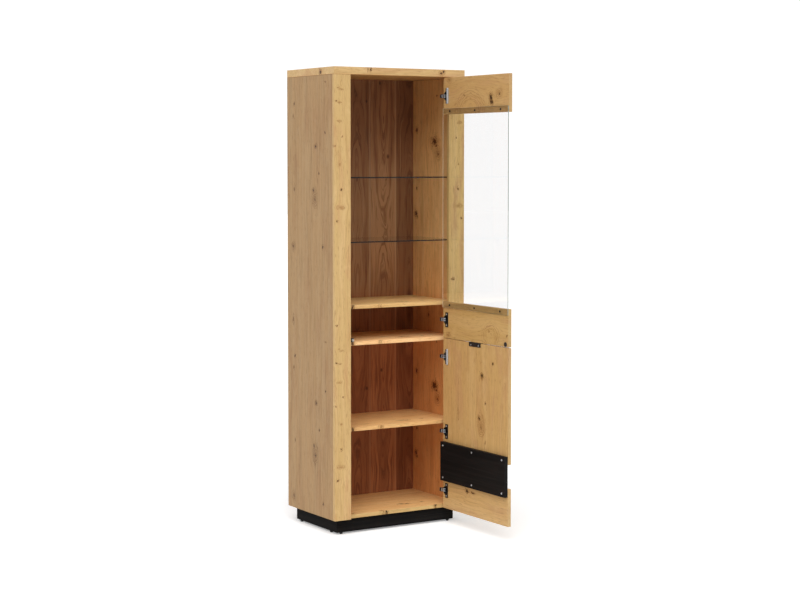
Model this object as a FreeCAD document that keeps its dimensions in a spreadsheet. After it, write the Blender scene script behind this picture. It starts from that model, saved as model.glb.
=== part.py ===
import FreeCAD, Part
import os
import re
import Sketcher

# A tall display cabinet with a glass upper door and a solid lower door, both standing open at a right angle.
# Millimetres. X runs to the right, Y from the front to the back and Z up from the floor.
# Every place below is measured from the cabinet's middle (X), the front face of its stiles (Y) and the
# floor (Z). The rule "front" then moves everything so that the origin is under the middle of the whole.

SIZES = {
    # Carcass
    "width": 660, "depth": 420, "height": 2000,
    "panel": 16, "top_thick": 32, "base_height": 68,
    "stile_width": 80, "stile_thick": 16,
    "bottom_set": 20, "fixed_set": 38, "loose_set": 36, "glass_set": 34,
    "upper_shelf_low": 968, "middle_shelf_low": 811, "lower_shelf_low": 441,
    "glass_shelf_one": 1251.5, "glass_shelf_two": 1528, "shelf_glass": 5, "shelf_play": 0.5,
    "back_thick": 3, "back_inset": 20, "groove_deep": 6, "play": 0.2, "edge_break": 0.6,
    # Plinth and glides
    "plinth_side_set": 32, "plinth_front_set": 40, "plinth_thick": 16,
    "glide_high": 8, "glide_top": 16, "glide_foot": 12, "glide_stem": 5, "glide_grip": 12,
    "glide_corner": 25, "glide_front_run": 60, "glide_back_run": 53,
    # Wooden dowels and shelf pins
    "dowel": 8, "dowel_shallow": 10, "dowel_deep": 20, "dowel_edge": 50, "stile_dowel_edge": 150,
    "shelf_pin": 5, "pin_in": 8, "pin_out": 8, "pin_front_edge": 50, "pin_back_edge": 45,
    # Doors
    "door_thick": 16, "side_gap": 2, "top_gap": 3, "middle_gap": 3, "bottom_gap": 1,
    "lower_door_top": 822, "rail_height": 160,
    "pane": 4, "pane_lap": 26, "pane_screw_edge": 13, "pane_screw_side": 56,
    "lower_board_height": 159, "slot_height": 103, "join_thick": 16, "join_lap": 34.5, "join_inset": 1,
    "join_screw_edge": 15.5, "join_screw_side": 22.5,
    # Handle on the lower door's top edge
    "handle_wide": 88, "handle_thick": 1.5, "handle_leg": 18.5, "handle_reach": 15, "handle_lip": 6,
    "handle_screw_side": 16, "handle_screw_drop": 10, "handle_break": 0.3,
    # Push latch and strike
    "latch_side": 20, "latch_up": 8.5, "latch_wide": 14, "latch_high": 17, "latch_start": 24,
    "latch_long": 54, "latch_break": 1.5, "latch_ear": 12, "latch_ear_thick": 3, "latch_ear_out": 11,
    "latch_ear_near": 22, "latch_ear_far": 40,
    "plunger": 10, "plunger_long": 36, "plunger_bore": 37, "plunger_rest_gap": 0.3, "sliding_fit": 0.05,
    "plunger_break": 1,
    "strike": 20, "strike_thick": 2, "strike_stem": 5, "strike_grip": 8, "strike_break": 0.6,
    # Concealed hinges
    "pivot_inset": 8.5, "pivot_depth": 4, "hinge_edge": 80,
    "cup": 35, "cup_deep": 11.5, "cup_wall": 0.8, "cup_inset": 21.5, "cup_bore_play": 0.2,
    "rim": 37, "rim_thick": 1.2, "wing_long": 65, "wing_free": 18, "wing_hinge": 4,
    "wing_screw_line": 5.5, "wing_screw_half": 24, "shoulder": 15.5, "shoulder_in": 12, "shoulder_out": 20,
    "arm_high": 16, "arm_sheet": 1.3, "arm_nose": 8, "arm_neck": 2.5, "arm_taper": 1.5,
    "arm_tip": 7.5, "arm_over": 3.8, "arm_deep": 9.2,
    "mount_set": 6, "mount_long": 44, "mount_thick": 3, "mount_high": 44, "mount_wing": 14,
    "mount_screw_half": 16, "mount_play": 0.2, "clamp_set": 12,
    "link_pin": 2.6, "link_thick": 3, "link_boss": 5,
    "centre_link_half": 3, "side_link_near": 3.6, "side_link_far": 6.3,
    # Link points, standing open: left of the door's inner face, and from its closed face or the cup's middle
    "side_pin_out": 5.5, "side_pin_drop": 4.5, "centre_pin_out": 5, "centre_pin_rise": 1.5,
    "side_bend_out": 3.9, "side_bend_up": 13, "side_end_in": 3.5, "side_end_up": 9.7,
    "centre_bend_out": 2.8, "centre_bend_up": 12.6, "centre_end_in": 4.7, "centre_end_up": 12.2,
    # Clip-on closing damper
    "damper_long": 70, "damper_wide": 10, "damper_thick": 5.3, "damper_over": 1.5, "damper_break": 1.2,
    # Screws
    "small_shank": 3.5, "small_head": 7, "small_head_high": 2.2, "small_grip": 12,
    "wide_shank": 4, "wide_head": 9, "wide_head_high": 2.8, "wide_grip": 12, "thin_grip": 10,
    "tiny_shank": 3, "tiny_head": 6, "tiny_head_high": 1.8, "pilot_play": 0.1,
    "crown_share": 0.6, "rim_share": 0.45,
}

# Rules that follow from the sizes
RULES = {
    "half": "width / 2",
    "room_half": "half - panel",
    "carcass_top": "height - top_thick",
    "back_front": "depth - back_inset",
    "opening_half": "half - stile_width",
    "door_half": "opening_half - side_gap",
    "pivot_x": "door_half - pivot_inset",
    "door_inner": "pivot_x - door_thick + pivot_depth",
    "door_outer": "pivot_x + pivot_depth",
    "door_rear": "pivot_depth + pivot_inset",
    "door_free": "door_rear - 2 * door_half",
    "door_middle": "door_rear - door_half",
    "front": "(-door_free - depth) / 2",
    "upper_door_low": "lower_door_top + middle_gap",
    "upper_door_high": "carcass_top - top_gap",
    "lower_door_low": "base_height + bottom_gap",
    "slot_low": "lower_door_low + lower_board_height",
    "slot_high": "slot_low + slot_height",
    "join_low": "slot_low - join_lap",
    "join_height": "slot_height + 2 * join_lap",
    "join_face": "door_inner - join_thick",
    "pane_low": "upper_door_low + rail_height - pane_lap",
    "pane_high": "upper_door_high - rail_height + pane_lap",
    "pane_face": "door_inner - pane",
    "cup_y": "door_rear - cup_inset",
    "latch_x": "latch_side - door_half",
    "latch_z": "middle_shelf_low + panel + latch_up",
    "strike_y": "pivot_depth + latch_x - pivot_x",
    "plinth_half": "half - plinth_side_set",
    "swing_clear": "max(stile_thick; door_thick)",
    "arm_start": "door_inner - arm_nose",
    "arm_low": "swing_clear + arm_over",
    "arm_high_side": "arm_low + arm_deep",
    "mount_start": "opening_half + mount_set",
    "mount_end": "mount_start + mount_long",
    "mount_middle": "mount_start + mount_long / 2",
    "clamp_x": "mount_end - clamp_set",
    "arm_inside_half": "arm_high / 2 - arm_sheet",
    "centre_pin_x": "door_inner - centre_pin_out",
    "centre_pin_y": "door_thick + centre_pin_rise",
    "side_pin_x": "door_inner - side_pin_out",
    "side_pin_y": "door_thick - side_pin_drop",
}

doc = FreeCAD.newDocument("display_cabinet")
sheet = doc.addObject("Spreadsheet::Sheet", "sizes")
for row, (word, size) in enumerate(SIZES.items(), 1):
    sheet.set(f"A{row}", word)
    sheet.set(f"B{row}", str(size))
    sheet.setAlias(f"B{row}", word)
ruler = doc.addObject("App::FeaturePython", "ruler")
ruler.addProperty("App::PropertyFloat", "span")
doc.recompute()

ORIGIN = FreeCAD.Vector()
TURNS = {
    "+x": FreeCAD.Rotation(FreeCAD.Vector(0, 1, 0), 90),
    "-x": FreeCAD.Rotation(FreeCAD.Vector(0, 1, 0), -90),
    "+y": FreeCAD.Rotation(FreeCAD.Vector(1, 0, 0), -90),
    "-y": FreeCAD.Rotation(FreeCAD.Vector(1, 0, 0), 90),
    "+z": FreeCAD.Rotation(),
    "-z": FreeCAD.Rotation(FreeCAD.Vector(1, 0, 0), 180),
}
PLANES = {"z": "XY_Plane", "y": "XZ_Plane", "x": "YZ_Plane"}
SMALL_HOLE = "small_shank + pilot_play"
kept = []
boards = {}


def formula(text):
    """A rule in plain words, spelt out down to the cells of the sheet."""
    def spell(match):
        word = match.group(0)
        if word in RULES:
            return "(" + formula(RULES[word]) + ")"
        return "sizes." + word if word in SIZES else word
    return re.sub(r"[A-Za-z_]\w*", spell, text)


def number(text):
    """A rule's value in millimetres, for a sketch's first guess."""
    ruler.setExpression("span", formula(text))
    ruler.recompute()
    return ruler.span


def place(thing, spot, turn="+z"):
    """Put a thing at a spot, with its own +Z turned along the named direction."""
    thing.Placement = FreeCAD.Placement(ORIGIN, TURNS[turn])
    x, y, z = spot
    thing.setExpression("Placement.Base.x", formula(x))
    thing.setExpression("Placement.Base.y", formula(f"front + {y}"))
    thing.setExpression("Placement.Base.z", formula(z))


def new_body(name):
    body = doc.addObject("PartDesign::Body", name)
    body.Label = name
    return body


def draw_on(body, axis, offset="0"):
    """A sketch square to an axis of the body, at an offset along that axis."""
    plane = next(item for item in body.Origin.OriginFeatures if item.Role == PLANES[axis])
    sketch = body.newObject("Sketcher::SketchObject", f"{body.Name}_drawing")
    sketch.AttachmentSupport = (plane, [""])
    sketch.MapMode = "FlatFace"
    sign = "-" if axis == "y" else ""
    sketch.setExpression("AttachmentOffset.Base.z", formula(f"{sign}({offset})"))
    return sketch


def fix(sketch, geometry, end, across, up):
    """Tie one point of a sketch to its two rules."""
    for kind, rule in (("DistanceX", across), ("DistanceY", up)):
        tie = sketch.addConstraint(Sketcher.Constraint(kind, -1, 1, geometry, end, number(rule)))
        sketch.setExpression(f"Constraints[{tie}]", formula(rule))


def add_outline(sketch, points):
    """A closed run of straight edges through the points."""
    spots = [FreeCAD.Vector(number(across), number(up), 0) for across, up in points]
    first = sketch.GeometryCount
    count = len(points)
    for step in range(count):
        sketch.addGeometry(Part.LineSegment(spots[step], spots[(step + 1) % count]), False)
    for step, (across, up) in enumerate(points):
        following = first + (step + 1) % count
        sketch.addConstraint(Sketcher.Constraint("Coincident", first + step, 2, following, 1))
        fix(sketch, first + step, 1, across, up)


def add_circle(sketch, across, up, diameter):
    centre = FreeCAD.Vector(number(across), number(up), 0)
    ring = sketch.addGeometry(Part.Circle(centre, FreeCAD.Vector(0, 0, 1), number(diameter) / 2), False)
    fix(sketch, ring, 3, across, up)
    tie = sketch.addConstraint(Sketcher.Constraint("Diameter", ring, number(diameter)))
    sketch.setExpression(f"Constraints[{tie}]", formula(diameter))


def pad(body, sketch, axis, length):
    """Raise a sketch along its axis: up, to the right or to the back."""
    feature = body.newObject("PartDesign::Pad", f"{body.Name}_pad")
    feature.Profile = sketch
    feature.setExpression("Length", formula(length))
    feature.Reversed = axis == "y"
    doc.recompute()
    return feature


def cut(body, sketch, axis, depth, onward):
    """Sink a sketch into the body, onward along its axis or back against it."""
    before = body.Shape.Volume
    feature = body.newObject("PartDesign::Pocket", f"{body.Name}_cut")
    feature.Profile = sketch
    feature.setExpression("Length", formula(depth))
    feature.Reversed = onward != (axis == "y")
    doc.recompute()
    if body.Shape.Volume >= before:
        raise ValueError(f"a cut in {body.Label} removed nothing")


def break_edges(body, size):
    raised = body.Tip
    feature = body.newObject("PartDesign::Chamfer", f"{body.Name}_edges")
    feature.Base = (raised, [""])
    feature.UseAllEdges = True
    feature.setExpression("Size", formula(size))
    doc.recompute()


def board(name, corner, size, edge="edge_break", keep=True):
    """A flat board from its low corner and its size, with its edges broken."""
    body = new_body(name)
    place(body, corner)
    sketch = draw_on(body, "z")
    across, deep, high = size
    add_outline(sketch, [("0", "0"), (across, "0"), (across, deep), ("0", deep)])
    pad(body, sketch, "z", high)
    break_edges(body, edge)
    boards[name] = (body, corner, size)
    if keep:
        kept.append(body)
    return body


def on_face(name, face):
    """A sketch on one face of a board, with that face's axis and whether cuts go onward from it."""
    body, corner, size = boards[name]
    axis = {"left": "x", "right": "x", "front": "y", "back": "y", "bottom": "z", "top": "z"}[face]
    onward = face in ("left", "front", "bottom")
    offset = "0" if onward else size["xyz".index(axis)]
    return draw_on(body, axis, offset), axis, onward


def flatten(name, axis, spot):
    """A spot in the cabinet as the two coordinates of a sketch on a board's face."""
    local = [f"({along}) - ({start})" for along, start in zip(spot, boards[name][1])]
    del local["xyz".index(axis)]
    return local


def bore(name, face, spots, diameter, depth):
    sketch, axis, onward = on_face(name, face)
    for spot in spots:
        across, up = flatten(name, axis, spot)
        add_circle(sketch, across, up, diameter)
    cut(boards[name][0], sketch, axis, depth, onward)


def groove(name, face, low, high, depth):
    """A straight-sided groove between two corners on a face of a board."""
    sketch, axis, onward = on_face(name, face)
    (left, down), (right, up) = flatten(name, axis, low), flatten(name, axis, high)
    add_outline(sketch, [(left, down), (right, down), (right, up), (left, up)])
    cut(boards[name][0], sketch, axis, depth, onward)


def turned(name, points):
    """A round piece turned about its own Z axis from (radius, height) points."""
    body = new_body(name)
    sketch = draw_on(body, "y")
    add_outline(sketch, points)
    feature = body.newObject("PartDesign::Revolution", f"{name}_turned")
    feature.Profile = sketch
    feature.ReferenceAxis = (sketch, ["V_Axis"])
    feature.Angle = 360
    doc.recompute()
    return body


def screw(name, shank, head, head_high, reach):
    """A pan-head screw: the head seats at height 0 and the shank goes up along Z.

    The head's rim stands straight for a share of its height, and slopes in to its flat crown.
    """
    return turned(name, [
        ("0", f"-{head_high}"), (f"{head} / 2 * crown_share", f"-{head_high}"),
        (f"{head} / 2", f"-{head_high} * rim_share"), (f"{head} / 2", "0"),
        (f"{shank} / 2", "0"), (f"{shank} / 2", reach), ("0", reach)])


def group(name, *sets):
    """One node of like pieces: each set is a pattern with its (spot, direction) pairs."""
    links = []
    for pattern, spots in sets:
        for spot, turn in spots:
            link = doc.addObject("App::Link", f"{name}_piece")
            link.LinkedObject = pattern
            place(link, spot, turn)
            links.append(link)
    compound = doc.addObject("Part::Compound", name)
    compound.Label = name
    compound.Links = links
    kept.append(compound)


def mirrored(spots):
    """The spots and their mirror images to the left."""
    return spots + [(f"-({x})", y, z) for x, y, z in spots]


# ---------------------------------------------------------------- Carcass
INNER = {"left": "right", "right": "left"}
for side, corner in (("left", "-half"), ("right", "room_half")):
    board(f"side_{side}", (corner, "stile_thick", "base_height"),
          ("panel", "depth - stile_thick", "carcass_top - base_height"))
    groove(f"side_{side}", INNER[side], (corner, "back_front", "base_height"),
           (corner, "back_front + back_thick + play", "carcass_top"), "groove_deep")
for side, corner in (("left", "-half"), ("right", "opening_half")):
    board(f"stile_{side}", (corner, "0", "base_height"),
          ("stile_width", "stile_thick", "carcass_top - base_height"))
board("top_board", ("-half", "0", "carcass_top"), ("width", "depth", "top_thick"))
groove("top_board", "bottom", ("-room_half - groove_deep", "back_front", "carcass_top"),
       ("room_half + groove_deep", "back_front + back_thick + play", "carcass_top"), "groove_deep")
board("bottom_panel", ("-room_half", "bottom_set", "base_height"),
      ("2 * room_half", "back_front - bottom_set", "panel"))
for name, low in (("upper_fixed_shelf", "upper_shelf_low"), ("middle_fixed_shelf", "middle_shelf_low")):
    board(name, ("-room_half", "fixed_set", low), ("2 * room_half", "back_front - fixed_set", "panel"))
board("lower_shelf", ("-room_half + shelf_play", "loose_set", "lower_shelf_low"),
      ("2 * (room_half - shelf_play)", "back_front - shelf_play - loose_set", "panel"))
for name, low in (("glass_shelf_low", "glass_shelf_one"), ("glass_shelf_high", "glass_shelf_two")):
    board(name, ("-room_half + shelf_play", "glass_set", low),
          ("2 * (room_half - shelf_play)", "back_front - shelf_play - glass_set", "shelf_glass"))
board("back_panel", ("-room_half - groove_deep + play", "back_front", "base_height"),
      ("2 * (room_half + groove_deep - play)", "back_thick",
       "carcass_top - base_height + groove_deep - play"))

# Dowels: the shallow end sits in the board that is met face on, the deep end in the other's edge
dowel = turned("dowel_pattern", [("0", "-dowel_shallow"), ("dowel / 2", "-dowel_shallow"),
                                 ("dowel / 2", "dowel_deep"), ("0", "dowel_deep")])
DOWEL_HOLE = "dowel + pilot_play"
dowels = []
for name, low, start in (("bottom_panel", "base_height", "bottom_set"),
                         ("middle_fixed_shelf", "middle_shelf_low", "fixed_set"),
                         ("upper_fixed_shelf", "upper_shelf_low", "fixed_set")):
    ends = [f"{start} + dowel_edge", "back_front - dowel_edge"]
    for side, sign, turn in (("left", "-", "+x"), ("right", "", "-x")):
        spots = [(f"{sign}room_half", y, f"{low} + panel / 2") for y in ends]
        bore(f"side_{side}", INNER[side], spots, DOWEL_HOLE, "dowel_shallow")
        bore(name, side, spots, DOWEL_HOLE, "dowel_deep")
        dowels += [(spot, turn) for spot in spots]
for side, sign in (("left", "-"), ("right", "")):
    middle = f"{sign}(half - panel / 2)"
    tops = [(middle, y, "carcass_top") for y in ("fixed_set + dowel_edge", "back_front - dowel_edge")]
    bore("top_board", "bottom", tops, DOWEL_HOLE, "dowel_shallow")
    bore(f"side_{side}", "top", tops, DOWEL_HOLE, "dowel_deep")
    dowels += [(spot, "-z") for spot in tops]
    fronts = [(middle, "stile_thick", z) for z in ("base_height + stile_dowel_edge",
                                                   "(base_height + carcass_top) / 2",
                                                   "carcass_top - stile_dowel_edge")]
    bore(f"stile_{side}", "back", fronts, DOWEL_HOLE, "dowel_shallow")
    bore(f"side_{side}", "front", fronts, DOWEL_HOLE, "dowel_deep")
    dowels += [(spot, "+y") for spot in fronts]
group("carcass_dowels", (dowel, dowels))

# Shelf pins: each shelf that lifts out rests on four of them
pin = turned("shelf_pin_pattern", [("0", "-pin_out"), ("shelf_pin / 2", "-pin_out"),
                                   ("shelf_pin / 2", "pin_in"), ("0", "pin_in")])


def add_pins(name, shelves):
    pins = []
    for side, sign, turn in (("left", "-", "-x"), ("right", "", "+x")):
        spots = [(f"{sign}room_half", y, f"{low} - shelf_pin / 2") for low in shelves
                 for y in ("loose_set + pin_front_edge", "back_front - pin_back_edge")]
        bore(f"side_{side}", INNER[side], spots, "shelf_pin + pilot_play", "pin_in + play")
        pins += [(spot, turn) for spot in spots]
    group(name, (pin, pins))


add_pins("lower_shelf_pins", ["lower_shelf_low"])
add_pins("glass_shelf_pins", ["glass_shelf_one", "glass_shelf_two"])

# ---------------------------------------------------------------- Plinth
PLINTH_HIGH = "base_height - glide_high"
PLINTH_BACK = "back_front - plinth_thick"
for name, y in (("plinth_front", "plinth_front_set"), ("plinth_back", PLINTH_BACK)):
    board(name, ("-plinth_half", y, "glide_high"), ("2 * plinth_half", "plinth_thick", PLINTH_HIGH))
for side, x in (("left", "-plinth_half"), ("right", "plinth_half - plinth_thick")):
    board(f"plinth_{side}", (x, "plinth_front_set + plinth_thick", "glide_high"),
          ("plinth_thick", f"{PLINTH_BACK} - plinth_front_set - plinth_thick", PLINTH_HIGH))
glide = turned("glide_pattern", [
    ("0", "0"), ("glide_foot / 2", "0"), ("glide_top / 2", "glide_high"), ("glide_stem / 2", "glide_high"),
    ("glide_stem / 2", "glide_high + glide_grip"), ("0", "glide_high + glide_grip")])
STEM_HOLE = "glide_stem + pilot_play"
corners = mirrored([("plinth_half - glide_corner", "plinth_front_set + plinth_thick / 2", "0")])
bore("plinth_front", "bottom", corners, STEM_HOLE, "glide_grip + play")
glides = corners
for side, sign in (("left", "-"), ("right", "")):
    spots = [(f"{sign}(plinth_half - plinth_thick / 2)", y, "0") for y in (
        "plinth_front_set + glide_front_run", "depth - glide_back_run")]
    bore(f"plinth_{side}", "bottom", spots, STEM_HOLE, "glide_grip + play")
    glides = glides + spots
group("glides", (glide, [(spot, "+z") for spot in glides]))

# ---------------------------------------------------------------- Upper door
for name, low in (("upper_door_top_board", "upper_door_high - rail_height"),
                  ("upper_door_bottom_board", "upper_door_low")):
    board(name, ("door_inner", "door_free", low), ("door_thick", "2 * door_half", "rail_height"))
board("door_glass", ("pane_face", "door_free", "pane_low"),
      ("pane", "2 * door_half", "pane_high - pane_low"))
DOOR_RUN = ["door_free + {0}", "door_middle", "door_rear - {0}"]
pane_screw = screw("pane_screw_pattern", "wide_shank", "wide_head", "wide_head_high", "pane + wide_grip")
pane_rows = {"upper_door_top_board": "pane_high - pane_screw_edge",
             "upper_door_bottom_board": "pane_low + pane_screw_edge"}
pane_spots = []
for name, z in pane_rows.items():
    spots = [("door_inner", y.format("pane_screw_side"), z) for y in DOOR_RUN]
    bore(name, "left", spots, "wide_shank + pilot_play", "wide_grip + play")
    bore("door_glass", "left", spots, "wide_shank + play", "pane")
    pane_spots += spots
group("glass_screws", (pane_screw, [(("pane_face", y, z), "+x") for x, y, z in pane_spots]))

strike = turned("strike", [
    ("0", "-strike_thick"), ("strike / 2 - strike_break", "-strike_thick"),
    ("strike / 2", "-strike_thick + strike_break"), ("strike / 2", "0"), ("strike_stem / 2", "0"),
    ("strike_stem / 2", "strike_grip"), ("0", "strike_grip")])
strike_spot = ("door_inner", "strike_y", "latch_z")
place(strike, strike_spot, "+x")
kept.append(strike)
bore("upper_door_bottom_board", "left", [strike_spot], "strike_stem + pilot_play", "strike_grip + play")

# ---------------------------------------------------------------- Lower door
board("lower_door_upper_board", ("door_inner", "door_free", "slot_high"),
      ("door_thick", "2 * door_half", "lower_door_top - slot_high"))
board("lower_door_lower_board", ("door_inner", "door_free", "lower_door_low"),
      ("door_thick", "2 * door_half", "lower_board_height"))
board("joining_board", ("join_face", "door_free + join_inset", "join_low"),
      ("join_thick", "2 * (door_half - join_inset)", "join_height"))
join_screw = screw("join_screw_pattern", "wide_shank", "wide_head", "wide_head_high",
                   "join_thick + thin_grip")
join_spots = []
for name, z in (("lower_door_upper_board", "join_low + join_height - join_screw_edge"),
                ("lower_door_lower_board", "join_low + join_screw_edge")):
    spots = [("door_inner", y.format("join_screw_side"), z) for y in DOOR_RUN]
    bore(name, "left", spots, "wide_shank + pilot_play", "thin_grip + play")
    join_spots += spots
bore("joining_board", "left", join_spots, "wide_shank + pilot_play", "join_thick")
group("joining_screws", (join_screw, [(("join_face", y, z), "+x") for x, y, z in join_spots]))

# Handle: a bent strip over the lower door's top edge, its leg inside and its lip outside
handle = new_body("handle")
place(handle, ("0", "door_middle - handle_wide / 2", "lower_door_top"))
sketch = draw_on(handle, "y")
add_outline(sketch, [
    ("door_inner - handle_thick", "handle_thick - handle_leg"), ("door_inner", "handle_thick - handle_leg"),
    ("door_inner", "0"), ("door_outer + handle_reach - handle_thick", "0"),
    ("door_outer + handle_reach - handle_thick", "-handle_lip"),
    ("door_outer + handle_reach", "-handle_lip"), ("door_outer + handle_reach", "handle_thick"),
    ("door_inner - handle_thick", "handle_thick")])
pad(handle, sketch, "y", "handle_wide")
break_edges(handle, "handle_break")
kept.append(handle)
boards["handle"] = (handle, ("0", "door_middle - handle_wide / 2", "lower_door_top"), None)
handle_spots = [("door_inner", f"door_middle {sign} (handle_wide / 2 - handle_screw_side)",
                 "lower_door_top - handle_screw_drop") for sign in "+-"]
bore("lower_door_upper_board", "left", handle_spots, "tiny_shank + pilot_play", "thin_grip + play")
sketch = draw_on(handle, "x", "door_inner - handle_thick")
for spot in handle_spots:
    across, up = flatten("handle", "x", spot)
    add_circle(sketch, across, up, "tiny_shank + play")
cut(handle, sketch, "x", "handle_thick", True)
handle_screw = screw("handle_screw_pattern", "tiny_shank", "tiny_head", "tiny_head_high",
                     "handle_thick + thin_grip")
group("handle_screws",
      (handle_screw, [(("door_inner - handle_thick", y, z), "+x") for x, y, z in handle_spots]))

# ---------------------------------------------------------------- Push latch on the middle shelf
SHELF_TOP = "middle_shelf_low + panel"
board("latch_housing", ("latch_x - latch_wide / 2", "latch_start", SHELF_TOP),
      ("latch_wide", "latch_long", "latch_high"), edge="latch_break")
housing = boards["latch_housing"][0]
ears = [(f"latch_x {sign} latch_ear_out", f"latch_start + {run}", SHELF_TOP)
        for sign, run in (("-", "latch_ear_near"), ("+", "latch_ear_far"))]
sketch = draw_on(housing, "z")
for spot in ears:
    across, up = flatten("latch_housing", "z", spot)
    add_circle(sketch, across, up, "latch_ear")
pad(housing, sketch, "z", "latch_ear_thick")
bore("latch_housing", "bottom", ears, SMALL_HOLE, "latch_ear_thick")
bore("latch_housing", "front", [("latch_x", "latch_start", "latch_z")],
     "plunger + 2 * sliding_fit", "plunger_bore")
bore("middle_fixed_shelf", "top", ears, SMALL_HOLE, "thin_grip + play")
latch_screw = screw("latch_screw_pattern", "small_shank", "small_head", "small_head_high",
                    "latch_ear_thick + thin_grip")
group("latch_screws", (latch_screw, [((x, y, f"{SHELF_TOP} + latch_ear_thick"), "-z") for x, y, z in ears]))
plunger = turned("latch_plunger", [
    ("0", "0"), ("plunger / 2 - plunger_break", "0"), ("plunger / 2", "plunger_break"),
    ("plunger / 2", "plunger_long"), ("0", "plunger_long")])
place(plunger, ("latch_x", "door_thick + strike_thick + plunger_rest_gap", "latch_z"), "+y")
kept.append(plunger)

# ---------------------------------------------------------------- Hinges
HINGES = [("upper_door_top_board", "upper_door_high - hinge_edge"),
          ("upper_door_bottom_board", "upper_door_low + hinge_edge"),
          ("lower_door_upper_board", "lower_door_top - hinge_edge"),
          ("lower_door_upper_board", "slot_high + hinge_edge"),
          ("lower_door_lower_board", "lower_door_low + hinge_edge")]


def hinge_cup(name, height):
    """The cup with its rim and winged flange. Y is measured from the cup's middle, Z from the hinge's."""
    body = new_body(name)
    place(body, ("door_inner", "cup_y", height))
    sketch = draw_on(body, "x", "-rim_thick")
    add_outline(sketch, [
        ("-wing_free", "-wing_long / 2"), ("wing_hinge", "-wing_long / 2"), ("wing_hinge", "-shoulder_out"),
        ("shoulder", "-shoulder_in"), ("shoulder", "shoulder_in"), ("wing_hinge", "shoulder_out"),
        ("wing_hinge", "wing_long / 2"), ("-wing_free", "wing_long / 2")])
    pad(body, sketch, "x", "rim_thick")
    for diameter, length in (("rim", "rim_thick"), ("cup", "rim_thick + cup_deep")):
        sketch = draw_on(body, "x", "-rim_thick")
        add_circle(sketch, "0", "0", diameter)
        pad(body, sketch, "x", length)
    sketch = draw_on(body, "x", "-rim_thick")
    add_circle(sketch, "0", "0", "cup - 2 * cup_wall")
    cut(body, sketch, "x", "rim_thick + cup_deep - cup_wall", True)
    sketch = draw_on(body, "x", "-rim_thick")
    for sign in ("", "-"):
        add_circle(sketch, "-wing_screw_line", f"{sign}wing_screw_half", "small_shank + play")
    cut(body, sketch, "x", "rim_thick", True)
    kept.append(body)


def hinge_arm(name, height):
    """The sheet-steel arm: two cheeks bent from a back, with the holes of both link pins."""
    body = new_body(name)
    place(body, ("0", "0", height))
    sketch = draw_on(body, "z", "-arm_high / 2")
    add_outline(sketch, [
        ("arm_start", "door_thick - arm_tip"), ("door_inner - arm_neck - arm_taper", "door_thick - arm_tip"),
        ("door_inner - arm_neck", "arm_low"), ("mount_end", "arm_low"), ("mount_end", "arm_high_side"),
        ("arm_start", "arm_high_side")])
    pad(body, sketch, "z", "arm_high")
    sketch = draw_on(body, "z", "-arm_inside_half")
    inside = "arm_high_side - arm_sheet"
    add_outline(sketch, [
        ("arm_start - play", "0"), ("mount_end + play", "0"), ("mount_end + play", inside),
        ("arm_start - play", inside)])
    cut(body, sketch, "z", "2 * arm_inside_half", True)
    sketch = draw_on(body, "z", "-arm_high / 2")
    for pin_name in ("centre_pin", "side_pin"):
        add_circle(sketch, f"{pin_name}_x", f"{pin_name}_y", "link_pin")
    cut(body, sketch, "z", "arm_high", True)
    sketch = draw_on(body, "y", inside)
    add_circle(sketch, "clamp_x", "0", SMALL_HOLE)
    cut(body, sketch, "y", "arm_sheet", True)
    kept.append(body)


def hinge_mount(name, height):
    """The cross-shaped plate on the back of the stile, with the rib that the arm clips over."""
    body = new_body(name)
    place(body, ("0", "stile_thick", height))
    rise = "swing_clear - stile_thick"
    for left, right, half, top in (
            ("mount_start", "mount_end", "arm_high / 2", f"{rise} + mount_thick"),
            ("mount_middle - mount_wing / 2", "mount_middle + mount_wing / 2", "mount_high / 2",
             f"{rise} + mount_thick"),
            ("mount_start", "mount_end", "arm_inside_half - mount_play",
             "arm_high_side - arm_sheet - mount_play - stile_thick")):
        sketch = draw_on(body, "y")
        add_outline(sketch, [(left, f"-({half})"), (right, f"-({half})"), (right, half), (left, half)])
        pad(body, sketch, "y", top)
    sketch = draw_on(body, "y")
    for sign in ("", "-"):
        add_circle(sketch, "mount_middle", f"{sign}mount_screw_half", SMALL_HOLE)
    cut(body, sketch, "y", f"{rise} + mount_thick", True)
    sketch = draw_on(body, "y")
    add_circle(sketch, "clamp_x", "0", SMALL_HOLE)
    cut(body, sketch, "y", "arm_high_side - stile_thick", True)
    kept.append(body)


def add_bar(sketch, start, end, thick):
    """A straight bar of the given thickness along the line between two points."""
    (x1, y1), (x2, y2) = start, end
    run = f"sqrt((({x2}) - ({x1}))^2 + (({y2}) - ({y1}))^2)"
    aside = f"({thick}) / 2 * (({y2}) - ({y1})) / {run}"
    along = f"({thick}) / 2 * (({x2}) - ({x1})) / {run}"
    add_outline(sketch, [
        (f"{x1} + {aside}", f"{y1} - {along}"), (f"{x2} + {aside}", f"{y2} - {along}"),
        (f"{x2} - {aside}", f"{y2} + {along}"), (f"{x1} - {aside}", f"{y1} + {along}")])


def hinge_link(name, points, low, high):
    """A bowed link: a bar from its pin round one bend to the end that lies in the cup."""
    body = new_body(name)
    for start, end in zip(points, points[1:]):
        sketch = draw_on(body, "z", low)
        add_bar(sketch, start, end, "link_thick")
        pad(body, sketch, "z", f"{high} - ({low})")
    for (x, y), diameter in zip(points, ("link_boss", "link_thick", "link_thick")):
        sketch = draw_on(body, "z", low)
        add_circle(sketch, x, y, diameter)
        pad(body, sketch, "z", f"{high} - ({low})")
    sketch = draw_on(body, "z", low)
    add_circle(sketch, *points[0], "link_pin + 2 * sliding_fit")
    cut(body, sketch, "z", f"{high} - ({low})", True)
    return body


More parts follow.
